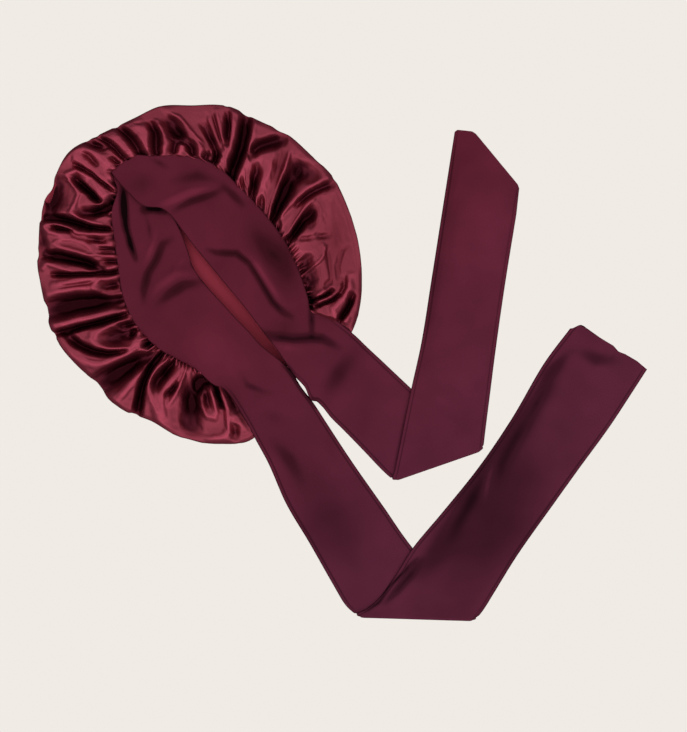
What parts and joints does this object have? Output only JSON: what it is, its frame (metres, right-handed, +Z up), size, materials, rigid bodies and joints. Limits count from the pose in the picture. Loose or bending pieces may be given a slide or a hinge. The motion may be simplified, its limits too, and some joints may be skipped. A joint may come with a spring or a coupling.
{
  "type": "sleep bonnet",
  "caption": "Sleep bonnet laid flat with its opening up: gathered satin crown, folded knit band and two wide ties.",
  "frame": {"origin": "middle of the crown's flat underside, on the surface it lies on", "axes": "+Z up, out of the opening; +X towards the ends of the ties; the long tie folds at -Y"},
  "size_m": [0.6617, 0.5584, 0.0267],
  "materials": {
    "satin": "glossy burgundy satin, duller on its reverse",
    "band_knit": "matte brushed knit, burgundy",
    "tie_knit": "matte brushed knit, burgundy"
  },
  "bodies": {
    "root": {"crown": "satin", "band": "band_knit", "tie_short": "tie_knit", "tie_long": "tie_knit"}
  },
  "joints": []
}
